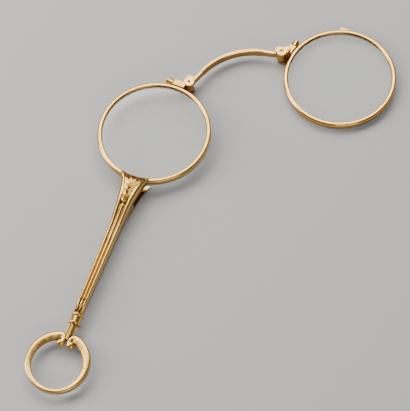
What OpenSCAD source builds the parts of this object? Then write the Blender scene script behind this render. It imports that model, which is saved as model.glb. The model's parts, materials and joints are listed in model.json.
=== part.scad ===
// Folding lorgnette: two eyewires joined by a sprung bridge, on a fluted handle with a ribbon ring.
// It is drawn open and lying on its back, front face up. All lengths are in millimetres.
// The handle runs along Y and the left lens sits above its mouth. Each lens has a layer of its own
// in Z, the right one lower, so that it folds behind the left one and into the slot of the handle.

/* [Eyewires and lenses] */
// Outer radius of each eyewire
rim_r = 19; // [17:0.5:21]
// Radial width of an eyewire
rim_w = 1.5; // [1.4:0.1:1.8]
// Height of an eyewire from back to front
rim_h = 2.3; // [2.1:0.1:2.8]
// Radius of the eyewire's rounded outer edges
rim_round = 0.4; // [0.25:0.05:0.5]
// Depth of the groove that holds the lens
seat_depth = 0.5; // [0.4:0.05:0.6]
// Thickness of a lens at its edge
lens_edge = 1; // [0.8:0.1:1.2]
// Extra thickness of a lens at its centre, on each face
lens_crown = 0.45; // [0.2:0.05:0.6]
// Width of the saw cut that lets an eyewire open for its lens
split_w = 0.25; // [0.15:0.05:0.35]
// Clear space between the folded lenses, and between them and the slot
layer_gap = 0.35; // [0.25:0.05:0.6]

/* [Hinges] */
// Distance of the left hinge axis outside its eyewire
left_hinge_out = 2.9; // [2.6:0.05:3.2]
// Distance of the right hinge axis outside its eyewire
right_hinge_out = 2.3; // [2.1:0.05:2.6]
// Distance between the two hinge axes
bridge_span = 33.2; // [32:0.2:34.4]
// Direction of the left hinge from the left lens centre, in degrees from +X
left_hinge_dir = 78; // [70:1:84]
// Angle in the open left hinge, from lens centre to bridge
left_open = 140.8; // [136:0.1:146]
// Angle in the open right hinge, from bridge to lens centre
right_open = 136.1; // [130:0.1:140]
// Height of a hinge from ear to ear
hinge_h = 5.8; // [5.4:0.1:6.4]
// Radius of the round ears
ear_r = 1.65; // [1.6:0.05:1.9]
// Thickness of an ear
ear_t = 0.85; // [0.7:0.05:1]
// Radius of the bridge's knuckles
knuckle_r = 1.45; // [1.4:0.05:1.55]
// Radius of a hinge pin
pin_r = 0.5; // [0.45:0.05:0.6]
// Radial clearance of a knuckle on its pin
pin_clear = 0.03; // [0.02:0.01:0.06]
// Side clearance between a knuckle and an ear
side_clear = 0.05; // [0.03:0.01:0.1]
// Wire radius of a hinge spring
spring_wire_r = 0.14; // [0.1:0.02:0.16]
// Turns of a hinge spring
spring_turns = 5; // [3:1:6]
// Radius of the recess over the right hinge pin
right_recess_r = 0.8; // [0.6:0.05:0.9]
// Radial reach of the arms and lugs outside an eyewire
arm_w = 1.95; // [1.7:0.05:2.1]
// Distance of the left eyewire's saw cut from its hinge
left_cut = 4.6; // [4:0.1:5.5]
// Distance of the right eyewire's saw cut from its hinge
right_cut = 5.3; // [4:0.1:5.5]
// Rise of the left arm and lug above the eyewire
left_arm_rise = 0.15; // [0.05:0.05:0.3]
// Rise of the right arm and lug above the eyewire
right_arm_rise = 0.25; // [0.05:0.05:0.3]
// Length of a closing lug along its screw
lug_len = 1.9; // [1.6:0.1:2.4]
// Radius of the round closing lugs
lug_r = 1.15; // [1:0.05:1.25]
// Shank radius of a closing screw
screw_r = 0.4; // [0.3:0.05:0.45]
// Head radius of a closing screw
screw_head_r = 0.8; // [0.6:0.05:0.85]

/* [Bridge] */
// Rise of the bridge above the line of the hinge axes
bridge_rise = 6.25; // [5.8:0.05:7]
// Length of the straight tongue from a hinge axis to the arch
tongue_len = 6.5; // [5.5:0.1:7.5]
// Thickness of the bridge bar
bar_t = 1.15; // [0.9:0.05:1.3]
// Height of the bridge bar over its arch
bar_h = 3; // [2.6:0.1:3.4]
// Step from the arch down to the tongue at each end
bar_step = 0.3; // [0.2:0.05:0.5]

/* [Handle] */
// Thickness of the front plate at the mouth
front_t = 0.8; // [0.6:0.05:1]
// Thickness of the back plate at the mouth
back_t = 0.7; // [0.5:0.05:0.9]
// Wall of the two handle shells
shell_wall = 0.45; // [0.35:0.05:0.6]
// Distance from the lens centre to the end of the fluted stem
stem_end = 67.8; // [60:0.1:80]
// Half width of the stem where its straight taper starts
stem_hw = 2.13; // [1.9:0.01:2.4]
// Half width that the taper loses for each millimetre of stem
stem_taper = 0.0142; // [0.008:0.001:0.018]
// Extra half width of the flare at the mouth
flare_w = 2.4; // [2:0.1:3.4]
// Length over which the flare fades
flare_len = 5.4; // [4:0.1:7]
// Thickness of the stem at its upper end
stem_t = 4.1; // [3.6:0.1:4.6]
// Thickness of the stem at its lower end
stem_end_t = 3.3; // [2.8:0.1:3.6]
// Depth of the grooves between the flutes
flute_depth = 0.5; // [0.3:0.05:0.6]
// Depth of the slot for the folded lens, below the eyewire
slot_depth = 7.2; // [6.8:0.1:8]
// Length of the pierced panel
panel_len = 10; // [9:0.5:11]
// Thickness of the pierced panel
panel_t = 0.6; // [0.4:0.05:0.7]

/* [Collar and ring] */
// Radius of the collar's two beads
bead_r = 2.12; // [1.9:0.05:2.4]
// Radius of the drum between the beads
drum_r = 1.72; // [1.6:0.05:1.85]
// Width of a bead along the handle
bead_w = 1.3; // [1:0.1:1.6]
// Width of the drum along the handle
drum_w = 1.5; // [1.2:0.1:2]
// Radius of the fluted neck
neck_r = 1.32; // [1.1:0.05:1.5]
// Length of the neck down to the scrolls
neck_len = 3.55; // [3:0.05:6]
// Outer radius of the ribbon ring
ring_r = 10.35; // [9.5:0.05:12]
// Width of the ribbon ring at its narrow end
ring_w = 1.45; // [1.2:0.05:2]
// Distance that the hole sits beyond the ring's centre
ring_shift = 0.7; // [0.4:0.05:1]
// Thickness of the ring from back to front
ring_t = 2.2; // [1.8:0.1:2.6]
// Outer radius of a scroll
scroll_r = 2.4; // [2.2:0.05:2.6]
// Radius of the ball that a scroll ends in
ball_r = 1.4; // [1.2:0.05:1.5]

/* [Catch] */
// Height of the nib above the edge of the right eyewire
nib_h = 0.8; // [0.5:0.05:1]
// Angle round the right lens from its hinge to the nib's steep face
nib_dir = 68.2; // [66:0.1:70]
// Angle that the nib's slope takes up
nib_slope = 8.8; // [6:0.2:10]
// Thickness of the catch spring
catch_t = 0.3; // [0.2:0.05:0.35]
// Width of the catch spring
catch_w = 2; // [1.6:0.1:2.2]
// Radius of the release button
button_r = 0.8; // [0.6:0.05:0.9]

/* [Hidden] */
$fn = 96;

// Heights of the layers, from the back plate on the table up to the front plate
low_z = back_t + layer_gap;
high_z = low_z + rim_h + layer_gap;
face_z = high_z + rim_h;
front_z = face_z + front_t;
slot_top_z = high_z - 0.1;
mid_z = front_z / 2;
hinge_mid_z = (low_z + face_z) / 2;
hinge_top_z = hinge_mid_z + hinge_h / 2;
hinge_low_z = hinge_mid_z - hinge_h / 2;

// The lens centre lies above the middle of the back plate, which is the origin
mouth_s = rim_r - 1;
slot_s = rim_r + slot_depth;
rest_s = (rim_r + slot_s) / 2;

// Hinges and bridge
left_hinge_r = rim_r + left_hinge_out;
right_hinge_r = rim_r + right_hinge_out;
knuckle_h = hinge_h - 2 * ear_t - 2 * side_clear;
knuckle_low_z = hinge_mid_z - knuckle_h / 2;
bridge_r = (pow(bridge_span / 2, 2) + pow(bridge_rise, 2) - pow(tongue_len, 2)) / (2 * bridge_rise);
arch_y = bridge_rise - bridge_r;
exit_dir = atan2(arch_y, bridge_span / 2) + atan2(bridge_r, tongue_len);
disc_proud = 0.3;
stop_w = 0.6;
post_gap = 0.4;
knuckle_gap = 0.12;
stop_gap = 0.06;

// Lenses
seat_r = rim_r - rim_w + seat_depth;
lens_r = seat_r - 0.06;
rim_in = rim_r - rim_w;

// Handle
flute_count = 3;
floor_t = flute_depth + shell_wall / 2;
panel_top_r = rim_in + 0.45;
panel_end_s = mouth_s + panel_len;
rail_top = 0.84;

// Collar and ring, as distances from the lens centre
bead1_s = stem_end;
drum_s = bead1_s + bead_w;
bead2_s = drum_s + drum_w;
neck_s = bead2_s + bead_w;
scroll_s = neck_s + neck_len + 1.9;
scroll_x = scroll_r + 0.25;
ball_x = ball_r + 0.25;
ball_s = scroll_s + scroll_r - ball_r + 0.1;
ring_bore_r = ring_r - ring_w - ring_shift;
scroll_proud = 0.15;
scroll_arm = ring_r - scroll_r + scroll_proud;
ring_s = scroll_s + sqrt(pow(scroll_arm, 2) - scroll_x * scroll_x);
ring_open = asin(scroll_x / scroll_arm);

// Catch
catch_z = slot_top_z + 0.15;
catch_foot_s = slot_s + 8.2;
button_s = slot_s + 3.6;
catch_top_s = rim_r + 0.25;
fold_corner = acos((pow(left_hinge_r, 2) + pow(right_hinge_r, 2) - pow(bridge_span, 2))
    / (2 * left_hinge_r * right_hinge_r));
nib_folded_dir = left_hinge_dir - fold_corner - nib_dir;
tooth_x = (rim_r + nib_h) * cos(nib_folded_dir) + 0.12;
tooth_t = 0.8;
rivet_r = 0.5;

// Frames: each lens frame has its hinge on +X at the distance of its hinge, the right one is mirrored
module on_left_lens() translate([0, rest_s, 0]) rotate(left_hinge_dir) children();
module on_left_hinge() on_left_lens() translate([left_hinge_r, 0, 0]) children();
module on_bridge() on_left_hinge() rotate(left_open - 180) children();
module on_right_hinge()
    on_bridge() translate([bridge_span, 0, 0]) rotate(right_open) mirror([0, 1, 0]) children();
module on_right_lens() on_right_hinge() translate([-right_hinge_r, 0, 0]) children();
module on_handle() translate([0, rest_s, 0]) children();

// A wedge of the plane between two directions, wide enough for anything here
module wedge(a0, a1)
    polygon([[0, 0], 3 * rim_r * [cos(a0), sin(a0)], 3 * rim_r * [cos(a1), sin(a1)]]);

module ring_sector(r0, r1, a0, a1)
    intersection() {
        difference() {
            circle(r1);
            circle(r0);
        }
        wedge(a0, a1);
    }

// Eyewire section: rounded outer edges, a fine line on the front, a seat for the lens inside
module eyewire_section() {
    difference() {
        union() {
            translate([rim_in, rim_round]) square([rim_w, rim_h - 2 * rim_round]);
            translate([rim_in, 0]) square([rim_w - rim_round, rim_h]);
            translate([rim_r - rim_round, rim_round]) circle(rim_round, $fn = 32);
            translate([rim_r - rim_round, rim_h - rim_round]) circle(rim_round, $fn = 32);
        }
        translate([rim_in - 1, (rim_h - lens_edge) / 2 - 0.05]) square([1 + seat_depth, lens_edge + 0.1]);
        translate([rim_r - 0.62, rim_h]) circle(0.09, $fn = 24);
        translate([rim_in, rim_h]) rotate(45) square(0.25, center = true);
        translate([rim_in, 0]) rotate(45) square(0.25, center = true);
    }
}

module eyewire(z0, cut)
    difference() {
        translate([0, 0, z0]) rotate_extrude() eyewire_section();
        translate([rim_in - 3, cut - split_w / 2, z0 - 1]) cube([6, split_w, rim_h + 2]);
    }

// Lens: both faces crowned, with a bevel that sits in the seat
module lens_disc(z0) {
    steps = 7;
    crown = [for (i = [0:steps]) let (r = (rim_in - 0.15) * i / steps, k = r / rim_in)
        [r, lens_edge / 2 + lens_crown * (1 - k * k)]];
    edge = [[lens_r, lens_edge / 2 - 0.1], [lens_r, 0.1 - lens_edge / 2]];
    under = [for (i = [steps:-1:0]) [crown[i][0], -crown[i][1]]];
    translate([0, 0, z0 + rim_h / 2]) rotate_extrude() polygon(concat(crown, edge, under));
}

// Arm on the eyewire with two round ears that hold the hinge pin, and the stop for the open bridge.
// It is drawn in the frame of its lens, with the hinge axis at the distance out on +X.
module hinge_arm(z0, out, open, cut, rise, recess_r) {
    stop_dir = open - 180 + exit_dir;
    gap_h = hinge_h - 2 * ear_t;
    difference() {
        union() {
            translate([0, 0, z0]) linear_extrude(rim_h + rise) intersection() {
                ring_sector(rim_r, rim_r + arm_w, 1.5, 30);
                square([rim_r + 5, cut - split_w / 2]);
            }
            translate([0, 0, hinge_low_z + disc_proud]) linear_extrude(hinge_h - 2 * disc_proud)
                ring_sector(rim_r + post_gap, rim_r + arm_w, 1.5, 7.8);
            for (z = [hinge_low_z, hinge_top_z - ear_t]) translate([out, 0, z])
                cylinder(r = ear_r, h = ear_t);
            translate([out, 0, hinge_mid_z]) rotate(stop_dir) linear_extrude((hinge_h - ear_t) / 2)
                translate([0.6 * ear_r, bar_t / 2 + stop_gap]) square([0.65 * ear_r, 0.55 * ear_r]);
            translate([out, 0, hinge_top_z - ear_t]) linear_extrude(ear_t) lip(stop_dir);
        }
        translate([out, 0, hinge_low_z + ear_t]) cylinder(r = knuckle_r + knuckle_gap, h = gap_h);
        translate([out, 0, hinge_low_z - 1]) cylinder(r = pin_r, h = hinge_h + 2);
        if (recess_r > pin_r) translate([out, 0, hinge_top_z - 0.5]) cylinder(r = recess_r, h = 1);
        screw_axis(z0, cut) translate([0, 0, -1.9]) cylinder(r = screw_r, h = 4);
    }
}

// Pointed lip of the upper ear, over the stop and the end of the open bridge
module lip(stop_dir)
    polygon([
        0.6 * ear_r * [cos(stop_dir - 30), sin(stop_dir - 30)],
        (ear_r + 0.75) * [cos(stop_dir - 6), sin(stop_dir - 6)],
        (ear_r + stop_w) * [cos(stop_dir + 22), sin(stop_dir + 22)],
        (ear_r + stop_w) * [cos(stop_dir + 52), sin(stop_dir + 52)],
        0.6 * ear_r * [cos(stop_dir + 80), sin(stop_dir + 80)]
    ]);

// Frame of a closing screw: its axis runs along +Z, out of the lug
module screw_axis(z0, cut)
    translate([sqrt(pow(rim_r + arm_w / 2, 2) - cut * cut) - 0.1, cut, z0 + rim_h / 2])
        rotate([-90, 0, 0]) children();

// Closing lug: a round barrel along its screw, seated on the eyewire
module closing_lug(z0, cut, rise)
    difference() {
        screw_axis(z0, cut) translate([0, -rise, split_w / 2]) cylinder(r = lug_r, h = lug_len);
        translate([0, 0, z0 - 1]) cylinder(r = rim_r, h = rim_h + 1);
        screw_axis(z0, cut) cylinder(r = screw_r, h = lug_len + 2);
    }

module closing_screw(z0, cut) {
    head_z = split_w / 2 + lug_len;
    screw_axis(z0, cut) {
        translate([0, 0, -1.6]) cylinder(r = screw_r, h = head_z + 1.6);
        difference() {
            translate([0, 0, head_z]) cylinder(r = screw_head_r, h = 0.7);
            translate([0, 0, head_z + 0.7]) cube([2, 0.22, 0.5], center = true);
        }
    }
}

module hinge_pin() {
    pin_low = hinge_low_z;
    pin_top = hinge_top_z - 0.5;
    translate([0, 0, pin_low]) difference() {
        cylinder(r = pin_r, h = pin_top - pin_low);
        translate([0, 0, pin_top - pin_low - 1]) cylinder(r = pin_r * 0.55, h = 2);
    }
}

// A round wire wound as a helix, as one closed tube of six sides
module hinge_spring() {
    coil_r = (pin_r + knuckle_r - 0.35) / 2 + 0.02;
    low = knuckle_low_z + 0.8 + spring_wire_r + 0.05;
    rise = knuckle_h - 0.8 - 2 * spring_wire_r - 0.1;
    per_turn = 14;
    count = spring_turns * per_turn;
    sides = 6;
    rings = [for (i = [0:count]) let (a = 360 * i / per_turn, z = low + rise * i / count)
        [for (k = [0:sides - 1]) let (b = 360 * k / sides, r = coil_r + spring_wire_r * cos(b))
            [r * cos(a), r * sin(a), z - spring_wire_r * sin(b)]]];
    tube(rings);
}

// Closed tube through rings that all have the same number of points, with a fan at each end
module tube(rings) {
    sides = len(rings[0]);
    last = len(rings) - 1;
    points = [for (ring = rings) each ring];
    walls = [for (i = [0:last - 1]) for (k = [0:sides - 1])
        let (a = i * sides + k, b = i * sides + (k + 1) % sides)
            each [[a, a + sides, b + sides], [a, b + sides, b]]];
    low = [for (k = [1:sides - 2]) [0, k, k + 1]];
    high = [for (k = [1:sides - 2]) [last * sides, last * sides + k + 1, last * sides + k]];
    polyhedron(points, concat(walls, low, high));
}

// Knuckle of the bridge: a barrel that turns on the pin and holds the coiled spring
module knuckle()
    translate([0, 0, knuckle_low_z]) difference() {
        cylinder(r = knuckle_r, h = knuckle_h);
        translate([0, 0, -1]) cylinder(r = pin_r + pin_clear, h = knuckle_h + 2);
        translate([0, 0, 0.8]) cylinder(r = knuckle_r - 0.35, h = knuckle_h);
    }

module bar_section(h)
    polygon([
        [-bar_t / 2, 0.2 - h / 2], [0.2 - bar_t / 2, -h / 2], [bar_t / 2 - 0.2, -h / 2],
        [bar_t / 2, 0.2 - h / 2], [bar_t / 2, h / 2 - 0.2], [bar_t / 2 - 0.2, h / 2],
        [0.2 - bar_t / 2, h / 2], [-bar_t / 2, h / 2 - 0.2]
    ]);

module tongue()
    difference() {
        rotate(exit_dir) translate([0, 0, hinge_mid_z]) rotate([90, 0, 90])
            linear_extrude(tongue_len + 0.05) bar_section(bar_h - 2 * bar_step);
        translate([0, 0, hinge_low_z]) cylinder(r = knuckle_r, h = hinge_h);
    }

module bridge() {
    translate([bridge_span / 2, arch_y, hinge_mid_z]) rotate(90 - exit_dir)
        rotate_extrude(angle = 2 * exit_dir) translate([bridge_r, 0]) bar_section(bar_h);
    tongue();
    translate([bridge_span, 0, 0]) mirror([1, 0, 0]) tongue();
}

module nib()
    translate([0, 0, low_z + rim_h / 2]) linear_extrude(rim_h - 2 * rim_round, center = true)
        difference() {
            polygon([
                (rim_r - 1) * [cos(nib_dir), sin(nib_dir)],
                (rim_r + nib_h) * [cos(nib_dir), sin(nib_dir)],
                (rim_r + nib_h) * [cos(nib_dir + 1.2), sin(nib_dir + 1.2)],
                (rim_r + 0.05) * [cos(nib_dir + nib_slope), sin(nib_dir + nib_slope)],
                (rim_r - 1) * [cos(nib_dir + nib_slope), sin(nib_dir + nib_slope)]
            ]);
            circle(rim_r, $fn = 720);
        }

// Handle outline: half width, front height and back height at the distance s from the lens centre
function ease(t) = let (c = max(0, min(1, t))) c * c * (3 - 2 * c);
function half_w(s) = stem_hw - stem_taper * (s - mouth_s) + flare_w * exp((mouth_s - s) / flare_len);
function stem_half_t(s) = (stem_t + (stem_end_t - stem_t) * (s - slot_s) / (stem_end - slot_s)) / 2;
function thinned(s) = ease((s - slot_s + 2) / 12);
function depth_at(s) = mid_z + (stem_half_t(s) - mid_z) * thinned(s);

// Fall of the surface below its crest: u runs from -1 to 1 over the width. The front has flutes
// with grooves between them, the back is plain, with edges that are rounded below the mouth.
function fall(s, u, side) =
    flute_depth * (side > 0 ? 1 - pow(abs(cos(flute_count * 90 * u)), 0.6) : pow(abs(u), 8) * thinned(s));

// Cross-sections of a shell and of the hollow inside it, each starting from the middle of its foot
function outer_ring(s, side) =
    let (w = half_w(s) * side, t = depth_at(s), n = side > 0 ? 8 * flute_count : 14)
    concat(
        [[0, -s, mid_z], [w, -s, mid_z]],
        [for (i = [0:n]) let (u = 1 - 2 * i / n) [w * u, -s, mid_z + side * (t - fall(s, u, side))]],
        [[-w, -s, mid_z]]
    );
function inner_ring(s, side) =
    let (w = (half_w(s) - shell_wall) * side, c = 0.5 * side,
        t = side * (depth_at(s) - floor_t))
    [[0, -s, mid_z - side], [w, -s, mid_z - side], [w, -s, mid_z + t - c], [w - c, -s, mid_z + t],
     [c - w, -s, mid_z + t], [-w, -s, mid_z + t - c], [-w, -s, mid_z - side]];

// One shell of the handle, the front one for side 1 and the back one for side -1
module shell(side) {
    stations = 16;
    top = mouth_s - 1.5;
    function at(k) = top + (stem_end - top) * pow(k / stations, 1.7);
    function inside(k) = k == 0 ? top - 1 : at(k) - shell_wall;
    difference() {
        tube([for (k = [0:stations]) outer_ring(at(k), side)]);
        tube([for (k = [0:stations]) inner_ring(inside(k), side)]);
    }
}

module window_outline(r_top)
    difference() {
        polygon(concat(
            [for (k = [0:10]) let (s = mouth_s - 1 + (panel_len + 1) * k / 10) [-panel_hw(s), -s]],
            [for (k = [10:-1:0]) let (s = mouth_s - 1 + (panel_len + 1) * k / 10) [panel_hw(s), -s]]
        ));
        circle(r_top);
    }
function panel_hw(s) = half_w(s) * (rail_top + (1 / flute_count - rail_top) * (s - mouth_s) / panel_len);

module handle_front()
    difference() {
        shell(1);
        translate([0, 0, -1]) cylinder(r = rim_r, h = face_z + 1);
        translate([0, 0, -1]) cylinder(r = panel_top_r, h = front_z + 2);
        translate([-10, -slot_s, -1]) cube([20, slot_depth + 5, slot_top_z + 1]);
        translate([0, 0, face_z - 2]) linear_extrude(front_t + 4) window_outline(panel_top_r - 2);
    }

module handle_back()
    difference() {
        shell(-1);
        translate([-10, -slot_s, back_t]) cube([20, slot_depth + 5, front_z]);
        translate([0, 0, -1]) cylinder(r = panel_top_r, h = front_z + 2);
        translate([0, -button_s, -1]) cylinder(r = button_r + 0.05, h = 4);
        translate([0, -catch_foot_s, -1]) cylinder(r = rivet_r, h = 4);
    }

// A pointed leaf: the overlap of two circles
module leaf(length, width, dir) {
    r = (length * length / 4 + width * width / 4) / width;
    rotate(dir) translate([length / 2, 0]) intersection() {
        translate([0, width / 2 - r]) circle(r);
        translate([0, r - width / 2]) circle(r);
    }
}

// Foliage of the panel, with the distance up from its lower end: pairs of leaves on a middle stem
leaf_rows = [
    // [foot of the leaf, length, width, angle from the stem]
    [0.2, 3.2, 0.9, 17], [2.4, 3.7, 1.15, 27], [4.4, 4.2, 1.35, 36], [5.7, 4.6, 1.25, 47],
    [6.6, 3.6, 1.3, 19]
];
hole_rows = [
    // [distance up, distance from the stem, length, width, angle from the stem]
    [0.5, 0.85, 1.5, 0.5, 8], [2.9, 1.05, 1.5, 0.6, 24], [6.6, 1.95, 1.6, 0.65, 50], [7.6, 0, 1.2, 0.5, 0]
];

module panel()
    translate([0, 0, face_z]) difference() {
        union() {
            linear_extrude(panel_t / 2) window_outline(panel_top_r);
            linear_extrude(panel_t) intersection() {
                window_outline(panel_top_r);
                translate([0, -panel_end_s]) {
                    translate([-0.25, 0]) square([0.5, panel_len - 3]);
                    for (m = [-1, 1]) for (row = leaf_rows) translate([m * 0.1, row[0]])
                        leaf(row[1], row[2], 90 - m * row[3]);
                }
            }
        }
        translate([0, 0, -1]) linear_extrude(panel_t + 2) {
            circle(panel_top_r);
            translate([0, -panel_end_s]) for (m = [-1, 1]) for (row = hole_rows)
                translate([m * row[1], row[0]]) leaf(row[2], row[3], 90 - m * row[4]);
        }
        translate([0, -panel_end_s, panel_t]) for (m = [-1, 1]) for (row = leaf_rows)
            translate([m * 0.1, row[0], 0]) rotate([0, 0, 90 - m * row[3]]) rotate([45, 0, 0])
                translate([0.3, -0.09, -0.09]) cube([0.8 * row[1], 0.18, 0.18]);
    }

// Leaf spring under the pierced panel. Its tooth drops behind the folded nib, and has a ramp on the
// side that the right eyewire comes from.
module catch_leaf() {
    tooth_low = low_z + rim_h / 2 - 0.4;
    difference() {
        union() {
            translate([-catch_w / 2, -catch_foot_s - 1, catch_z])
                cube([catch_w, catch_foot_s + 1 - catch_top_s, catch_t]);
            translate([min(tooth_x, -catch_w / 2), -catch_top_s - 1.2, catch_z])
                cube([max(catch_w / 2, tooth_x + 1.4) - min(tooth_x, -catch_w / 2), 1.2, catch_t]);
            translate([0, -catch_top_s, 0]) rotate([90, 0, 0]) linear_extrude(tooth_t) polygon([
                [tooth_x, catch_z + catch_t], [tooth_x, tooth_low], [tooth_x + 0.4, tooth_low],
                [tooth_x + 1.4, catch_z], [tooth_x + 1.4, catch_z + catch_t]
            ]);
        }
        translate([0, -catch_foot_s, 0]) cylinder(r = rivet_r, h = front_z);
    }
}

function back_at(s) = mid_z - depth_at(s);

// Height of the hollow's floor beyond the distance s, clear of all that is nearer the mouth
function floor_at(s) = back_at(s) + floor_t + 0.03;

// Pillar that the spring is riveted to, through the back of the handle
module catch_fastener() {
    foot_z = floor_at(catch_foot_s + rivet_r + 0.35);
    translate([0, -catch_foot_s, 0]) {
        translate([0, 0, back_at(catch_foot_s)])
            cylinder(r = rivet_r, h = catch_z + catch_t + 0.3 - back_at(catch_foot_s));
        translate([0, 0, foot_z]) cylinder(r = rivet_r + 0.35, h = catch_z - foot_z);
        translate([0, 0, catch_z + catch_t]) cylinder(r = rivet_r + 0.35, h = 0.3);
    }
}

// Push button in the back of the handle, held in by its flange, that lifts the spring
module button()
    translate([0, -button_s, 0]) {
        translate([0, 0, back_at(button_s) - 0.1])
            cylinder(r = button_r, h = catch_z - 0.05 - back_at(button_s) + 0.1);
        translate([0, 0, floor_at(button_s + button_r + 0.3)]) cylinder(r = button_r + 0.3, h = 0.4);
    }

// Round turned parts of the collar, on the handle's axis
module on_axis(s) translate([0, -s, mid_z]) rotate([90, 0, 0]) children();

module bead(s)
    on_axis(s) {
        rotate_extrude() translate([bead_r - bead_w / 2, bead_w / 2]) circle(bead_w / 2, $fn = 48);
        cylinder(r = bead_r - bead_w / 2, h = bead_w);
    }

module drum()
    difference() {
        on_axis(drum_s) cylinder(r = drum_r, h = drum_w);
        for (m = [-1, 1]) translate([0, -drum_s - drum_w / 2, mid_z + drum_r]) rotate(m * 45)
            cube([0.16, 1.3, 0.3], center = true);
    }

module neck()
    difference() {
        on_axis(neck_s) linear_extrude(neck_len + 3) difference() {
            circle(neck_r);
            for (a = [30:60:330]) rotate(a) translate([neck_r + 0.1, 0]) circle(0.28, $fn = 32);
        }
        for (m = [-1, 1]) translate([m * scroll_x, -scroll_s, 0]) cylinder(r = scroll_r, h = front_z);
        translate([-5, -scroll_s - 3, 0]) cube([10, 3, front_z]);
    }

// Solid disc with rounded edges, across the handle's middle plane
module round_disc(r, t, edge)
    rotate_extrude() {
        translate([0, edge - t / 2]) square([r, t - 2 * edge]);
        translate([0, -t / 2]) square([r - edge, t]);
        for (m = [-1, 1]) translate([r - edge, m * (t / 2 - edge)]) circle(edge, $fn = 32);
    }

module ring_hole() translate([0, -ring_s - ring_shift, 0]) cylinder(r = ring_bore_r, h = front_z);

// Scroll at the end of the ring: its band curls round a hollow and ends in a ball. The hollow runs
// out into the sloped inner edge of the ring.
module scroll(side) {
    hollow_r = 0.75;
    hollow_depth = 0.35;
    difference() {
        translate([side * scroll_x, -scroll_s, mid_z]) round_disc(scroll_r, ring_t, 0.6);
        ring_hole();
        for (m = [-1, 1]) translate([side * (scroll_x + 0.5), 0.1 - scroll_s, mid_z + m * ring_t / 2]) {
            cylinder(r = hollow_r, h = 2 * hollow_depth, center = true);
            translate([side * 0.25, -0.9, 0])
                cylinder(r = 0.8 * hollow_r, h = 2 * hollow_depth, center = true);
        }
        translate([side * ball_x, -ball_s, 0]) cylinder(r = ball_r, h = front_z);
    }
    translate([side * ball_x, -ball_s, mid_z]) round_disc(ball_r, ring_t + 0.1, 0.65);
}

module ring()
    difference() {
        translate([0, -ring_s, mid_z]) rotate_extrude() union() {
            translate([ring_r - ring_t / 2, 0]) circle(ring_t / 2, $fn = 48);
            translate([ring_r / 2, -ring_t / 2]) square([ring_r / 2 - ring_t / 2, ring_t]);
        }
        ring_hole();
        for (m = [0, 1]) translate([0, -ring_s - ring_shift, mid_z]) mirror([0, 0, m])
            translate([0, 0, ring_t / 2 - 0.5]) cylinder(r1 = ring_bore_r, r2 = ring_bore_r + 0.8, h = 0.6);
        for (m = [-1, 1]) {
            translate([m * scroll_x, -scroll_s, 0]) cylinder(r = scroll_r, h = front_z);
            translate([m * ball_x, -ball_s, 0]) cylinder(r = ball_r, h = front_z);
        }
        translate([0, -ring_s, 0]) linear_extrude(front_z) wedge(90 - ring_open, 90 + ring_open);
    }

gold = "gold";
dark_gold = "goldenrod";
steel = "silver";
glass = [0.85, 0.9, 0.92, 0.5];

module left_eyewire() color(gold) on_left_lens() eyewire(high_z, left_cut);
module left_lens() color(glass) on_left_lens() lens_disc(high_z);
module left_hinge_arm()
    color(gold) on_left_lens() hinge_arm(high_z, left_hinge_r, left_open, left_cut, left_arm_rise, 0);
module left_closing_lug() color(dark_gold) on_left_lens() closing_lug(high_z, left_cut, left_arm_rise);
module left_closing_screw() color(gold) on_left_lens() closing_screw(high_z, left_cut);
module left_hinge_pin() color(dark_gold) on_left_hinge() hinge_pin();
module left_hinge_spring() color(steel) on_left_hinge() hinge_spring();
module left_knuckle() color(dark_gold) on_bridge() knuckle();
module bridge_bar() color(gold) on_bridge() bridge();
module right_knuckle() color(dark_gold) on_bridge() translate([bridge_span, 0, 0]) knuckle();
module right_hinge_spring() color(steel) on_right_hinge() hinge_spring();
module right_hinge_pin() color(dark_gold) on_right_hinge() hinge_pin();
module right_hinge_arm()
    color(gold) on_right_lens()
        hinge_arm(low_z, right_hinge_r, right_open, right_cut, right_arm_rise, right_recess_r);
module right_closing_lug() color(dark_gold) on_right_lens() closing_lug(low_z, right_cut, right_arm_rise);
module right_closing_screw() color(gold) on_right_lens() closing_screw(low_z, right_cut);
module right_eyewire() color(gold) on_right_lens() eyewire(low_z, right_cut);
module right_lens() color(glass) on_right_lens() lens_disc(low_z);
module catch_nib() color(dark_gold) on_right_lens() nib();
module handle_front_shell() color(gold) on_handle() handle_front();
module handle_back_shell() color(dark_gold) on_handle() handle_back();
module foliage_panel() color(gold) on_handle() panel();
module catch_spring() color(steel) on_handle() catch_leaf();
module catch_rivet() color(dark_gold) on_handle() catch_fastener();
module release_button() color(gold) on_handle() button();
module upper_bead() color(gold) on_handle() bead(bead1_s);
module collar_drum() color(dark_gold) on_handle() drum();
module lower_bead() color(gold) on_handle() bead(bead2_s);
module fluted_neck() color(gold) on_handle() neck();
module left_scroll() color(gold) on_handle() scroll(-1);
module right_scroll() color(gold) on_handle() scroll(1);
module ribbon_ring() color(gold) on_handle() ring();

left_eyewire();
left_lens();
left_hinge_arm();
left_closing_lug();
left_closing_screw();
left_hinge_pin();
left_hinge_spring();
left_knuckle();
bridge_bar();
right_knuckle();
right_hinge_spring();
right_hinge_pin();
right_hinge_arm();
right_closing_lug();
right_closing_screw();
right_eyewire();
right_lens();
catch_nib();
handle_front_shell();
handle_back_shell();
foliage_panel();
catch_spring();
catch_rivet();
release_button();
upper_bead();
collar_drum();
lower_bead();
fluted_neck();
left_scroll();
right_scroll();
ribbon_ring();
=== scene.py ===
import json
import math

import bpy
from mathutils import Matrix, Vector


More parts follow.
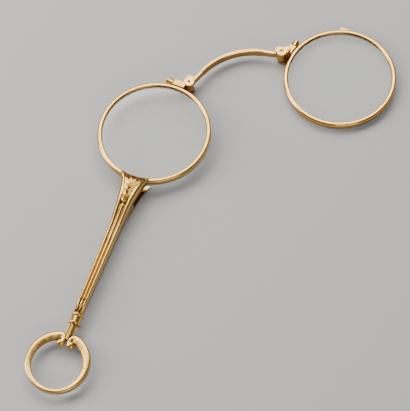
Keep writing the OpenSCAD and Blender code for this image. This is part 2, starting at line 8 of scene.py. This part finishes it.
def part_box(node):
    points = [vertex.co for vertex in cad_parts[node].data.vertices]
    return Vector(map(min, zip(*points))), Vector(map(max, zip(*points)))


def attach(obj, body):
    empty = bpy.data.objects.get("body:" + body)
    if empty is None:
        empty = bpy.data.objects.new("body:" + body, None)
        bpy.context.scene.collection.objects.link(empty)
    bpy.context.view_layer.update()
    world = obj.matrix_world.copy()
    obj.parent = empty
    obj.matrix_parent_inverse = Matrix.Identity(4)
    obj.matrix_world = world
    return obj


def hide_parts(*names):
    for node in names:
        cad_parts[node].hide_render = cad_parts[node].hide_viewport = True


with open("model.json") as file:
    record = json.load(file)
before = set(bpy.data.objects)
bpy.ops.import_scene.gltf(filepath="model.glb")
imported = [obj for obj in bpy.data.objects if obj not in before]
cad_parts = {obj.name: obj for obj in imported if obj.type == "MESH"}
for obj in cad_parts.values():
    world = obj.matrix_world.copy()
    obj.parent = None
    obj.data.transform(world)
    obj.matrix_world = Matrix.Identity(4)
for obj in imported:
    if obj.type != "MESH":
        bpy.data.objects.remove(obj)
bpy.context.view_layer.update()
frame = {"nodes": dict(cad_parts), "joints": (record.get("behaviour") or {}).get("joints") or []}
nodes = frame["nodes"]

# Camera
# The photograph looks down at the open lorgnette from the ring's side, about half a metre
# away, and the camera is turned a little about its own view.

camera_data = bpy.data.cameras.new("camera")
camera = bpy.data.objects.new("camera", camera_data)
bpy.context.collection.objects.link(camera)
camera_data.sensor_fit = "HORIZONTAL"
camera_data.sensor_width = 36
camera_data.lens = 133.4
camera_data.clip_start = 0.01
camera_place = Vector((0.1278, -0.1935, 0.4446))
camera_aim = Vector((0.02561, 0.00199, 0.006))
camera_turn = (camera_aim - camera_place).to_track_quat("-Z", "Y").to_matrix().to_4x4()
camera_roll = Matrix.Rotation(math.radians(-8.46), 4, "Z")
camera.matrix_world = Matrix.Translation(camera_place) @ camera_turn @ camera_roll
bpy.context.scene.camera = camera

# Table and light
# A plain pale table top under three soft lamps: a wide one behind the object, a strip at its
# left and a weak one in front. The room beyond them is dim, so that the gold has contrast.

table_low = -0.0001
bpy.ops.object.select_all(action="DESELECT")
bpy.ops.mesh.primitive_plane_add(size=3, location=(0, 0, table_low))
table = bpy.context.object
table.name = "table_top"
table_paint = bpy.data.materials.new("pale_table")
table_paint.use_nodes = True
table_shader = table_paint.node_tree.nodes["Principled BSDF"]
table_shader.inputs["Base Color"].default_value = (0.62, 0.62, 0.63, 1)
table_shader.inputs["Roughness"].default_value = 0.65
table_shader.inputs["Specular IOR Level"].default_value = 0.2
table.data.materials.append(table_paint)


def soft_lamp(name, place, aim, size, power, tint):
    lamp_data = bpy.data.lights.new(name, "AREA")
    lamp_data.shape = "RECTANGLE"
    lamp_data.size, lamp_data.size_y = size
    lamp_data.energy = power
    lamp_data.color = tint
    lamp = bpy.data.objects.new(name, lamp_data)
    bpy.context.collection.objects.link(lamp)
    lamp.location = place
    lamp.rotation_euler = (Vector(aim) - Vector(place)).to_track_quat("-Z", "Y").to_euler()


soft_lamp("back_lamp", (-0.2, 0.36, 0.62), (0.02, 0, 0), (0.8, 0.45), 5.6, (1, 0.96, 0.89))
soft_lamp("side_lamp", (-0.5, -0.12, 0.3), (0, 0, 0), (0.2, 0.6), 2.8, (1, 0.97, 0.92))
soft_lamp("front_lamp", (0.35, -0.45, 0.35), (0, 0, 0), (0.4, 0.2), 0.8, (0.97, 0.98, 1))
room = bpy.data.worlds.new("dim_room")
room.use_nodes = True
room.node_tree.nodes["Background"].inputs["Color"].default_value = (0.62, 0.64, 0.68, 1)
room.node_tree.nodes["Background"].inputs["Strength"].default_value = 0.24
bpy.context.scene.world = room

# Eyewires
# Each rim is rolled gold wire, drawn with a rounded front and closed over the edge of its lens.
# It is bent to a circle and left open at a saw cut beside its hinge.

eyewire_outer = 0.019
eyewire_width = 0.0015
eyewire_height = 0.0023
front_rounding = 0.00068
inner_rounding = 0.00042
back_rounding = 0.0003
saw_cut = 0.00025
lens_middle = {}
for side in ("left", "right"):
    low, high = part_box(side + "_lens")
    lens_middle[side] = (Vector(low) + Vector(high)) / 2
hinge_place = {}
for joint in frame["joints"]:
    if joint["type"] == "hinge":
        side = joint["name"].replace("_hinge", "")
        hinge_place[side] = Vector((joint["pos_m"][0], joint["pos_m"][1], 0))
cut_reach = {"left": 0.0046, "right": -0.0053}


def rolled_gold(name, colour, rosy, tarnish_and_shade, rough, hollow_shade_reach, scratch_turn):
    """Polished rolled gold: patches of tint, tarnish and painted shade in the hollows, painted shade
    on sides and undersides, a painted highlight along the edges, and hair scratches.
    """
    metal = bpy.data.materials.new(name)
    metal.use_nodes = True
    tree = metal.node_tree
    link = tree.links.new
    shader = tree.nodes["Principled BSDF"]
    shader.inputs["Metallic"].default_value = 1
    place = tree.nodes.new("ShaderNodeTexCoord")

    patches = tree.nodes.new("ShaderNodeTexNoise")
    patches.inputs["Scale"].default_value = 320
    patches.inputs["Detail"].default_value = 4
    link(place.outputs["Object"], patches.inputs["Vector"])
    tint = tree.nodes.new("ShaderNodeMix")
    tint.data_type = "RGBA"
    tint.inputs["A"].default_value = (*colour, 1)
    tint.inputs["B"].default_value = (*rosy, 1)
    link(patches.outputs["Fac"], tint.inputs["Factor"])

    # Tarnish and painted shade: in hollows found by ambient occlusion the colour goes toward the
    # dark tint.
    hollow = tree.nodes.new("ShaderNodeAmbientOcclusion")
    hollow.samples = 8
    hollow.inputs["Distance"].default_value = hollow_shade_reach
    hollow_shade = tree.nodes.new("ShaderNodeMapRange")
    hollow_shade.inputs["From Min"].default_value = 0.25
    hollow_shade.inputs["From Max"].default_value = 0.85
    hollow_shade.inputs["To Min"].default_value = 1
    hollow_shade.inputs["To Max"].default_value = 0
    link(hollow.outputs["AO"], hollow_shade.inputs["Value"])
    # Painted shade: faces that turn sideways or downward are painted darker with the same dark tint.
    upward = tree.nodes.new("ShaderNodeSeparateXYZ")
    link(place.outputs["Normal"], upward.inputs["Vector"])
    side_shade = tree.nodes.new("ShaderNodeMapRange")
    side_shade.inputs["From Min"].default_value = 0.6
    side_shade.inputs["From Max"].default_value = -0.3
    side_shade.inputs["To Max"].default_value = 0.75
    link(upward.outputs["Z"], side_shade.inputs["Value"])
    dark = tree.nodes.new("ShaderNodeMath")
    dark.operation = "MAXIMUM"
    link(hollow_shade.outputs["Result"], dark.inputs[0])
    link(side_shade.outputs["Result"], dark.inputs[1])
    tarnish_and_shade_mix = tree.nodes.new("ShaderNodeMix")
    tarnish_and_shade_mix.data_type = "RGBA"
    tarnish_and_shade_mix.inputs["B"].default_value = (*tarnish_and_shade, 1)
    link(dark.outputs["Value"], tarnish_and_shade_mix.inputs["Factor"])
    link(tint.outputs["Result"], tarnish_and_shade_mix.inputs["A"])

    # Painted highlight: a paler, brighter colour is painted along the edges.
    corner = tree.nodes.new("ShaderNodeBevel")
    corner.samples = 4
    corner.inputs["Radius"].default_value = 0.00012
    facing = tree.nodes.new("ShaderNodeNewGeometry")
    agree = tree.nodes.new("ShaderNodeVectorMath")
    agree.operation = "DOT_PRODUCT"
    link(corner.outputs["Normal"], agree.inputs[0])
    link(facing.outputs["Normal"], agree.inputs[1])
    edge_highlight = tree.nodes.new("ShaderNodeMapRange")
    edge_highlight.inputs["From Min"].default_value = 0.98
    edge_highlight.inputs["From Max"].default_value = 0.8
    edge_highlight.inputs["To Max"].default_value = 0.7
    link(agree.outputs["Value"], edge_highlight.inputs["Value"])
    edge = tree.nodes.new("ShaderNodeMix")
    edge.data_type = "RGBA"
    edge.inputs["B"].default_value = (min(1, colour[0] * 1.15), colour[1] * 1.25, colour[2] * 1.5, 1)
    link(edge_highlight.outputs["Result"], edge.inputs["Factor"])
    link(tarnish_and_shade_mix.outputs["Result"], edge.inputs["A"])
    link(edge.outputs["Result"], shader.inputs["Base Color"])

    grain = tree.nodes.new("ShaderNodeTexNoise")
    grain.inputs["Scale"].default_value = 900
    grain.inputs["Detail"].default_value = 6
    link(place.outputs["Object"], grain.inputs["Vector"])
    polish = tree.nodes.new("ShaderNodeMapRange")
    polish.inputs["From Min"].default_value = 0.3
    polish.inputs["From Max"].default_value = 0.7
    polish.inputs["To Min"].default_value = rough * 0.7
    polish.inputs["To Max"].default_value = rough * 1.4
    link(grain.outputs["Fac"], polish.inputs["Value"])
    link(polish.outputs["Result"], shader.inputs["Roughness"])

    along = tree.nodes.new("ShaderNodeMapping")
    along.inputs["Rotation"].default_value = (0, 0, math.radians(scratch_turn))
    along.inputs["Scale"].default_value = (9000, 350, 2500)
    link(place.outputs["Object"], along.inputs["Vector"])
    hair = tree.nodes.new("ShaderNodeTexNoise")
    hair.inputs["Scale"].default_value = 1
    hair.inputs["Detail"].default_value = 3
    link(along.outputs["Vector"], hair.inputs["Vector"])
    scratches = tree.nodes.new("ShaderNodeBump")
    scratches.inputs["Strength"].default_value = 0.12
    scratches.inputs["Distance"].default_value = 0.00001
    link(hair.outputs["Fac"], scratches.inputs["Height"])
    pits = tree.nodes.new("ShaderNodeBump")
    pits.inputs["Strength"].default_value = 0.1
    pits.inputs["Distance"].default_value = 0.00002
    link(grain.outputs["Fac"], pits.inputs["Height"])
    link(scratches.outputs["Normal"], pits.inputs["Normal"])
    link(pits.outputs["Normal"], shader.inputs["Normal"])
    return metal


rim_gold = rolled_gold(
    "rim_gold", (0.92, 0.57, 0.145), (0.87, 0.49, 0.11), (0.16, 0.05, 0.012), 0.17, 0.0006, 20
)


def dress(piece, metal, body):
    piece.data.materials.clear()
    piece.data.materials.append(metal)
    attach(piece, body)


def pick_points(piece, keep):
    """Leaves the piece in edit mode with only the points selected that keep(place) takes."""
    bpy.ops.object.mode_set(mode="EDIT")
    bpy.ops.mesh.select_mode(type="VERT")
    bpy.ops.mesh.select_all(action="DESELECT")
    bpy.ops.object.mode_set(mode="OBJECT")
    for point in piece.data.vertices:
        point.select = keep(point.co)
    bpy.ops.object.mode_set(mode="EDIT")


def bend_eyewire(side):
    middle = lens_middle[side]
    bottom = middle.z - eyewire_height / 2
    reach = eyewire_outer - eyewire_width / 2
    out = hinge_place[side] - middle
    turn = math.atan2(out.y, out.x) + math.asin(cut_reach[side] / reach)
    half_cut = math.asin(saw_cut / 2 / reach)
    bpy.ops.object.select_all(action="DESELECT")
    bpy.ops.mesh.primitive_plane_add(
        size=1, location=(middle.x + reach, middle.y, middle.z), rotation=(math.pi / 2, 0, 0)
    )
    wire = bpy.context.object
    wire.name = side + "_rim_wire"
    wire.scale = (eyewire_width, eyewire_height, 1)
    bpy.ops.object.transform_apply(location=True, rotation=True, scale=True)
    top = bottom + eyewire_height - 0.00001
    pick_points(wire, lambda at: at.z > top and at.x > middle.x + reach)
    bpy.ops.mesh.bevel(offset=front_rounding, segments=9, affect="VERTICES")
    pick_points(wire, lambda at: at.z > top and at.x < middle.x + reach - 0.0007)
    bpy.ops.mesh.bevel(offset=inner_rounding, segments=6, affect="VERTICES")
    pick_points(wire, lambda at: at.z < bottom + 0.00001)
    bpy.ops.mesh.bevel(offset=back_rounding, segments=4, affect="VERTICES")
    bpy.ops.mesh.select_all(action="SELECT")
    bpy.ops.transform.rotate(
        value=-(turn + half_cut), orient_axis="Z", center_override=(middle.x, middle.y, middle.z)
    )
    bpy.ops.mesh.spin(
        steps=240, angle=2 * math.pi - 2 * half_cut, center=middle, axis=(0, 0, 1)
    )
    bpy.ops.mesh.select_all(action="SELECT")
    bpy.ops.mesh.remove_doubles(threshold=0.0000005)
    bpy.ops.mesh.normals_make_consistent(inside=False)
    bpy.ops.object.mode_set(mode="OBJECT")
    bpy.ops.object.shade_smooth_by_angle(angle=math.radians(35))
    return wire


for side, body in (("left", "handle"), ("right", "right_lens_group")):
    wire = bend_eyewire(side)
    dress(wire, rim_gold, body)
    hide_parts(side + "_eyewire")

# Lenses
# Two round lenses of clear glass, ground with a low crown on both faces and a bevelled edge that the
# eyewire's groove grips. Age has left faint wipe marks.

lens_glass = bpy.data.materials.new("clear_lens_glass")
lens_glass.use_nodes = True
lens_tree = lens_glass.node_tree
lens_shader = lens_tree.nodes["Principled BSDF"]
lens_shader.inputs["Base Color"].default_value = (0.94, 0.96, 0.955, 1)
lens_shader.inputs["Transmission Weight"].default_value = 1
lens_shader.inputs["IOR"].default_value = 1.52
lens_place = lens_tree.nodes.new("ShaderNodeTexCoord")
wipe_marks = lens_tree.nodes.new("ShaderNodeTexNoise")
wipe_marks.inputs["Scale"].default_value = 90
wipe_marks.inputs["Detail"].default_value = 6
wipe_marks.inputs["Distortion"].default_value = 2.5
lens_tree.links.new(lens_place.outputs["Object"], wipe_marks.inputs["Vector"])
wipe_haze = lens_tree.nodes.new("ShaderNodeMapRange")
wipe_haze.inputs["From Min"].default_value = 0.45
wipe_haze.inputs["From Max"].default_value = 0.75
wipe_haze.inputs["To Max"].default_value = 0.09
lens_tree.links.new(wipe_marks.outputs["Fac"], wipe_haze.inputs["Value"])
lens_tree.links.new(wipe_haze.outputs["Result"], lens_shader.inputs["Roughness"])
for name in ("left_lens", "right_lens"):
    nodes[name].data.materials[0] = lens_glass

# Hinge arms
# An arm with two round ears is soldered to each eyewire, filed flat on top and polished. Painted
# shade darkens the arm away from the pin, so that the ears round the pin stay bright gold.

ear_top = 0.0064
unshaded_reach = 0.0013
full_shade_reach = 0.0026


# Painted shade: the arm's colour is mixed toward dark brown with distance from the pin.
def shade_away_from_pin(metal, pin):
    tree = metal.node_tree
    shader = tree.nodes["Principled BSDF"]
    polished = shader.inputs["Base Color"].links[0].from_socket
    place = tree.nodes.new("ShaderNodeTexCoord")
    from_pin = tree.nodes.new("ShaderNodeVectorMath")
    from_pin.operation = "DISTANCE"
    from_pin.inputs[1].default_value = (pin.x, pin.y, ear_top)
    tree.links.new(place.outputs["Object"], from_pin.inputs[0])
    arm_shade = tree.nodes.new("ShaderNodeMapRange")
    arm_shade.inputs["From Min"].default_value = unshaded_reach
    arm_shade.inputs["From Max"].default_value = full_shade_reach
    arm_shade.inputs["To Max"].default_value = 0.4
    tree.links.new(from_pin.outputs["Value"], arm_shade.inputs["Value"])
    arm_shade_mix = tree.nodes.new("ShaderNodeMix")
    arm_shade_mix.data_type = "RGBA"
    arm_shade_mix.inputs["B"].default_value = (0.42, 0.19, 0.04, 1)
    tree.links.new(arm_shade.outputs["Result"], arm_shade_mix.inputs["Factor"])
    tree.links.new(polished, arm_shade_mix.inputs["A"])
    tree.links.new(arm_shade_mix.outputs["Result"], shader.inputs["Base Color"])


for side in ("left", "right"):
    arm_gold = rolled_gold(
        side + "_arm_gold", (0.92, 0.56, 0.15), (0.85, 0.47, 0.11), (0.13, 0.04, 0.01), 0.2,
        0.0009, 75
    )
    shade_away_from_pin(arm_gold, hinge_place[side])
    nodes[side + "_hinge_arm"].data.materials[0] = arm_gold

# Catch nib
# A small block of the same gold is soldered to the right eyewire's outer edge. The tooth of the
# catch drops behind it when the lens is folded.

nodes["catch_nib"].data.materials[0] = rim_gold

# Closing lugs and their screws
# The round lug beyond the saw cut is drawn up to the arm by a small screw, turned from gold
# wire, so that the eyewire grips its lens.

for name in ("left_closing_lug", "right_closing_lug"):
    nodes[name].data.materials[0] = rim_gold
screw_gold = rolled_gold(
    "screw_gold", (0.78, 0.47, 0.18), (0.72, 0.40, 0.14), (0.09, 0.03, 0.01), 0.26, 0.0004, 50
)
for name in ("left_closing_screw", "right_closing_screw", "left_hinge_pin", "right_hinge_pin"):
    nodes[name].data.materials[0] = screw_gold

# Bridge
# The bar is sprung strip, arched over the nose and brazed to a knuckle at each end. Its edges carry
# a painted highlight and its sides are painted darker as shade.

bridge_gold = rolled_gold(
    "bridge_gold", (0.90, 0.54, 0.14), (0.83, 0.45, 0.105), (0.12, 0.04, 0.01), 0.2, 0.0009, 110
)
for name in ("bridge_bar", "left_knuckle", "right_knuckle"):
    nodes[name].data.materials[0] = bridge_gold

# Springs
# The coils in the knuckles and the long leaf of the catch are tempered steel, left grey from
# the fire. The leaf is held in the handle by one gold rivet.

spring_grey = bpy.data.materials.new("tempered_steel")
spring_grey.use_nodes = True
spring_tree = spring_grey.node_tree
spring_shader = spring_tree.nodes["Principled BSDF"]
spring_shader.inputs["Metallic"].default_value = 1
spring_place = spring_tree.nodes.new("ShaderNodeTexCoord")
temper = spring_tree.nodes.new("ShaderNodeTexNoise")
temper.inputs["Scale"].default_value = 700
temper.inputs["Detail"].default_value = 4
spring_tree.links.new(spring_place.outputs["Object"], temper.inputs["Vector"])
temper_tint = spring_tree.nodes.new("ShaderNodeMix")
temper_tint.data_type = "RGBA"
temper_tint.inputs["A"].default_value = (0.42, 0.41, 0.40, 1)
temper_tint.inputs["B"].default_value = (0.22, 0.23, 0.26, 1)
spring_tree.links.new(temper.outputs["Fac"], temper_tint.inputs["Factor"])
spring_tree.links.new(temper_tint.outputs["Result"], spring_shader.inputs["Base Color"])
temper_polish = spring_tree.nodes.new("ShaderNodeMapRange")
temper_polish.inputs["To Min"].default_value = 0.25
temper_polish.inputs["To Max"].default_value = 0.5
spring_tree.links.new(temper.outputs["Fac"], temper_polish.inputs["Value"])
spring_tree.links.new(temper_polish.outputs["Result"], spring_shader.inputs["Roughness"])
temper_bump = spring_tree.nodes.new("ShaderNodeBump")
temper_bump.inputs["Strength"].default_value = 0.2
temper_bump.inputs["Distance"].default_value = 0.00001
spring_tree.links.new(temper.outputs["Fac"], temper_bump.inputs["Height"])
spring_tree.links.new(temper_bump.outputs["Normal"], spring_shader.inputs["Normal"])
for name in ("left_hinge_spring", "right_hinge_spring", "catch_spring"):
    nodes[name].data.materials[0] = spring_grey
nodes["catch_rivet"].data.materials[0] = screw_gold

# Handle shells
# Two shells pressed from sheet, soldered along their edges. The front one has three flutes between
# its rails, the back one is plain. The grooves of the flutes are painted dark, as old polish and
# painted shade.

handle_gold = rolled_gold(
    "handle_gold", (0.92, 0.59, 0.17), (0.86, 0.51, 0.13), (0.13, 0.06, 0.018), 0.19, 0.0008, 90
)


def merged_copy(name, piece_name):
    bpy.ops.object.select_all(action="DESELECT")
    piece = nodes[name].copy()
    piece.data = nodes[name].data.copy()
    bpy.context.collection.objects.link(piece)
    piece.name = piece_name
    piece.select_set(True)
    bpy.context.view_layer.objects.active = piece
    bpy.ops.object.mode_set(mode="EDIT")
    bpy.ops.mesh.select_all(action="SELECT")
    bpy.ops.mesh.remove_doubles(threshold=0.000002)
    bpy.ops.object.mode_set(mode="OBJECT")
    return piece


for face in ("front", "back"):
    shell = merged_copy(f"handle_{face}_shell", f"{face}_shell_pressing")
    bpy.ops.object.shade_smooth_by_angle(angle=math.radians(32))
    dress(shell, handle_gold, "handle")
    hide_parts(f"handle_{face}_shell")

# Foliage panel
# A thin plate fills the mouth of the handle. Pairs of pointed leaves are raised on it from a middle
# stem, each with a sunk vein, and the pierced ground between them is painted near black, as tarnish
# and painted shade.

chased_gold = rolled_gold(
    "chased_gold", (0.92, 0.59, 0.15), (0.84, 0.49, 0.11), (0.05, 0.016, 0.004), 0.22, 0.0007, 35
)
# Tarnish and painted shade: the ground under the leaves is painted near black.
ground_gold = rolled_gold(
    "ground_gold", (0.12, 0.055, 0.015), (0.07, 0.03, 0.008), (0.02, 0.008, 0.002), 0.55, 0.0005, 35
)
panel_low, panel_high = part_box("foliage_panel")
ground_level = (panel_low[2] + panel_high[2]) / 2

plate = merged_copy("foliage_panel", "panel_ground")
pick_points(plate, lambda at: at.z > ground_level + 0.0001)
bpy.ops.transform.resize(value=(1, 1, 0.05), center_override=(0, 0, ground_level))
bpy.ops.object.mode_set(mode="OBJECT")
dress(plate, ground_gold, "handle")
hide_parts("foliage_panel")

leaf_height = 0.00046
leaf_rows = (
    # foot above the panel's lower end, length, width, angle from the stem
    (0.0002, 0.0032, 0.0013, 19),
    (0.0022, 0.0037, 0.0016, 30),
    (0.0043, 0.0044, 0.0019, 42),
    (0.0060, 0.0049, 0.0017, 42),
    (0.0063, 0.0037, 0.0019, 14),
)


def join_pieces(pieces, name):
    bpy.ops.object.select_all(action="DESELECT")
    for piece in pieces:
        piece.select_set(True)
    bpy.context.view_layer.objects.active = pieces[0]
    bpy.ops.object.join()
    joined = bpy.context.object
    joined.name = name
    return joined


def raise_leaf(length, width):
    bpy.ops.object.select_all(action="DESELECT")
    bpy.ops.mesh.primitive_uv_sphere_add(
        segments=24, ring_count=16, radius=0.5, rotation=(0, math.pi / 2, 0)
    )
    leaf = bpy.context.object
    bpy.ops.object.transform_apply(location=False, rotation=True, scale=True)
    for reach, shrink in ((0.05, 0.95), (0.15, 0.92), (0.25, 0.88), (0.33, 0.82), (0.4, 0.75)):
        pick_points(leaf, lambda at: at.x > reach)
        bpy.ops.transform.resize(value=(1, shrink, 0.5 + 0.5 * shrink), center_override=(0, 0, 0))
    pick_points(leaf, lambda at: abs(at.y) < 0.03 and at.z > 0.05 and abs(at.x) < 0.42)
    bpy.ops.transform.translate(value=(0, 0, -0.17))
    bpy.ops.mesh.select_all(action="SELECT")
    bpy.ops.transform.translate(value=(0.5, 0, 0))
    bpy.ops.transform.resize(value=(length, width, 2 * leaf_height), center_override=(0, 0, 0))
    bpy.ops.object.mode_set(mode="OBJECT")
    return leaf


leaves = []
for foot, length, width, angle in leaf_rows:
    for hand in (-1, 1):
        leaf = raise_leaf(length, width)
        leaf.rotation_euler = (0, 0, math.pi / 2 - hand * math.radians(angle))
        leaf.location = (hand * 0.0001, panel_low[1] + foot, ground_level)
        bpy.ops.object.transform_apply(location=True, rotation=True, scale=True)
        leaves.append(leaf)
spray = join_pieces(leaves, "leaf_spray")
bpy.ops.object.shade_smooth_by_angle(angle=math.radians(50))
dress(spray, chased_gold, "handle")

# Release button
# A small turned stud stands in a hole in the back of the handle, under the leaf of the catch.
# It is of the same gold as the screws.

nodes["release_button"].data.materials[0] = screw_gold

# Collar and neck
# Turned beads on either side of a drum close the stem, and a fluted neck hangs from the lower
# one. The drum is chased with a cross.

for name in ("upper_bead", "lower_bead", "collar_drum", "fluted_neck"):
    nodes[name].data.materials[0] = chased_gold

# Ribbon ring and scrolls
# One cast band, thickest at the neck, runs round the ring and curls at both ends over a ball.
# Its outer edge is rounded and its inner edge sloped, and the fingers have kept it bright.

ring_gold = rolled_gold(
    "ring_gold", (0.93, 0.59, 0.16), (0.87, 0.50, 0.12), (0.14, 0.05, 0.014), 0.24, 0.0008, 60
)
ring_low, ring_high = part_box("ribbon_ring")
ring_outer = (ring_high[0] - ring_low[0]) / 2
ring_bore = 0.0082
bore_drop = 0.0007
band_height = ring_high[2] - ring_low[2]
ring_middle = Vector((0, ring_low[1] + ring_outer, (ring_low[2] + ring_high[2]) / 2))
curl_reach = 0.0024
curl_middle = Vector((0.00265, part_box("right_scroll")[1][1] - curl_reach, ring_middle.z))
ball_middle = Vector((0.00165, curl_middle.y - 0.0011, ring_middle.z))
ball_size = 0.0014
scroll_proud = 0.00015
end_half_width = 0.0007
curl_widening = 0.0007
curl_steps = 24
ring_steps = 120

band = []
curl_from = math.atan2(ball_middle.y - curl_middle.y, ball_middle.x - curl_middle.x) + 2 * math.pi
toward_curl = curl_middle - ring_middle
curl_to = math.atan2(toward_curl.y, toward_curl.x)
for step in range(curl_steps + 1):
    share = step / curl_steps
    angle = curl_from + (curl_to - curl_from) * share
    half_width = end_half_width + curl_widening * share ** 1.5
    reach = curl_reach - scroll_proud * share ** 3 - half_width
    band.append((curl_middle.x + reach * math.cos(angle), curl_middle.y + reach * math.sin(angle),
                 half_width))
right_curl = list(band)
for step in range(1, ring_steps):
    angle = curl_to - (2 * curl_to + math.pi) * step / ring_steps
    drop = bore_drop * math.sin(angle)
    inner = math.sqrt(ring_bore ** 2 - (bore_drop * math.cos(angle)) ** 2) - drop
    middle = (ring_outer + inner) / 2
    band.append((middle * math.cos(angle), ring_middle.y + middle * math.sin(angle),
                 (ring_outer - inner) / 2))
for x, y, half_width in reversed(right_curl):
    band.append((-x, y, half_width))

headings = []
for index in range(len(band)):
    before, after = band[max(index - 1, 0)], band[min(index + 1, len(band) - 1)]
    headings.append(math.atan2(after[1] - before[1], after[0] - before[0]))
bpy.ops.object.select_all(action="DESELECT")
bpy.ops.mesh.primitive_plane_add(size=1, location=(0, 0, 0), rotation=(math.pi / 2, 0, 0))
ring_band = bpy.context.object
ring_band.scale = (2 * band[0][2], band_height, 1)
bpy.ops.object.transform_apply(location=True, rotation=True, scale=True)
for inner_edge, offset, segments in ((False, 0.0005, 6), (True, 0.00055, 2)):
    pick_points(ring_band, lambda at: (at.x < 0) == inner_edge and abs(at.z) > 0.45 * band_height)
    bpy.ops.mesh.bevel(offset=offset, segments=segments, affect="VERTICES")
bpy.ops.mesh.select_all(action="SELECT")
bpy.ops.transform.rotate(
    value=-(headings[0] + math.pi / 2), orient_axis="Z", center_override=(0, 0, 0)
)
bpy.ops.transform.translate(value=(band[0][0], band[0][1], ring_middle.z))
for index in range(1, len(band)):
    x, y, half_width = band[index]
    was_x, was_y, was_half = band[index - 1]
    bpy.ops.mesh.extrude_region_move(TRANSFORM_OT_translate={"value": (x - was_x, y - was_y, 0)})
    centre = (x, y, ring_middle.z)
    turn = (headings[index] - headings[index - 1] + math.pi) % (2 * math.pi) - math.pi
    bpy.ops.transform.rotate(value=-turn, orient_axis="Z", center_override=centre)
    widen = half_width / was_half
    bpy.ops.transform.resize(value=(widen, widen, 1), center_override=centre)
bpy.ops.mesh.select_all(action="SELECT")
bpy.ops.mesh.normals_make_consistent(inside=False)
bpy.ops.object.mode_set(mode="OBJECT")

pieces = [ring_band]
for hand in (-1, 1):
    bpy.ops.mesh.primitive_uv_sphere_add(
        segments=48, ring_count=24, radius=ball_size,
        location=(hand * ball_middle.x, ball_middle.y, ball_middle.z)
    )
    ball = bpy.context.object
    ball.scale = (1, 1, 0.5 * band_height / ball_size + 0.02)
    bpy.ops.object.transform_apply(location=True, rotation=True, scale=True)
    pieces.append(ball)
ring_band = join_pieces(pieces, "ring_and_scrolls")
bpy.ops.object.transform_apply(location=True, rotation=True, scale=True)
bpy.ops.object.shade_smooth_by_angle(angle=math.radians(28))
dress(ring_band, ring_gold, "handle")
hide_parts("ribbon_ring", "left_scroll", "right_scroll")
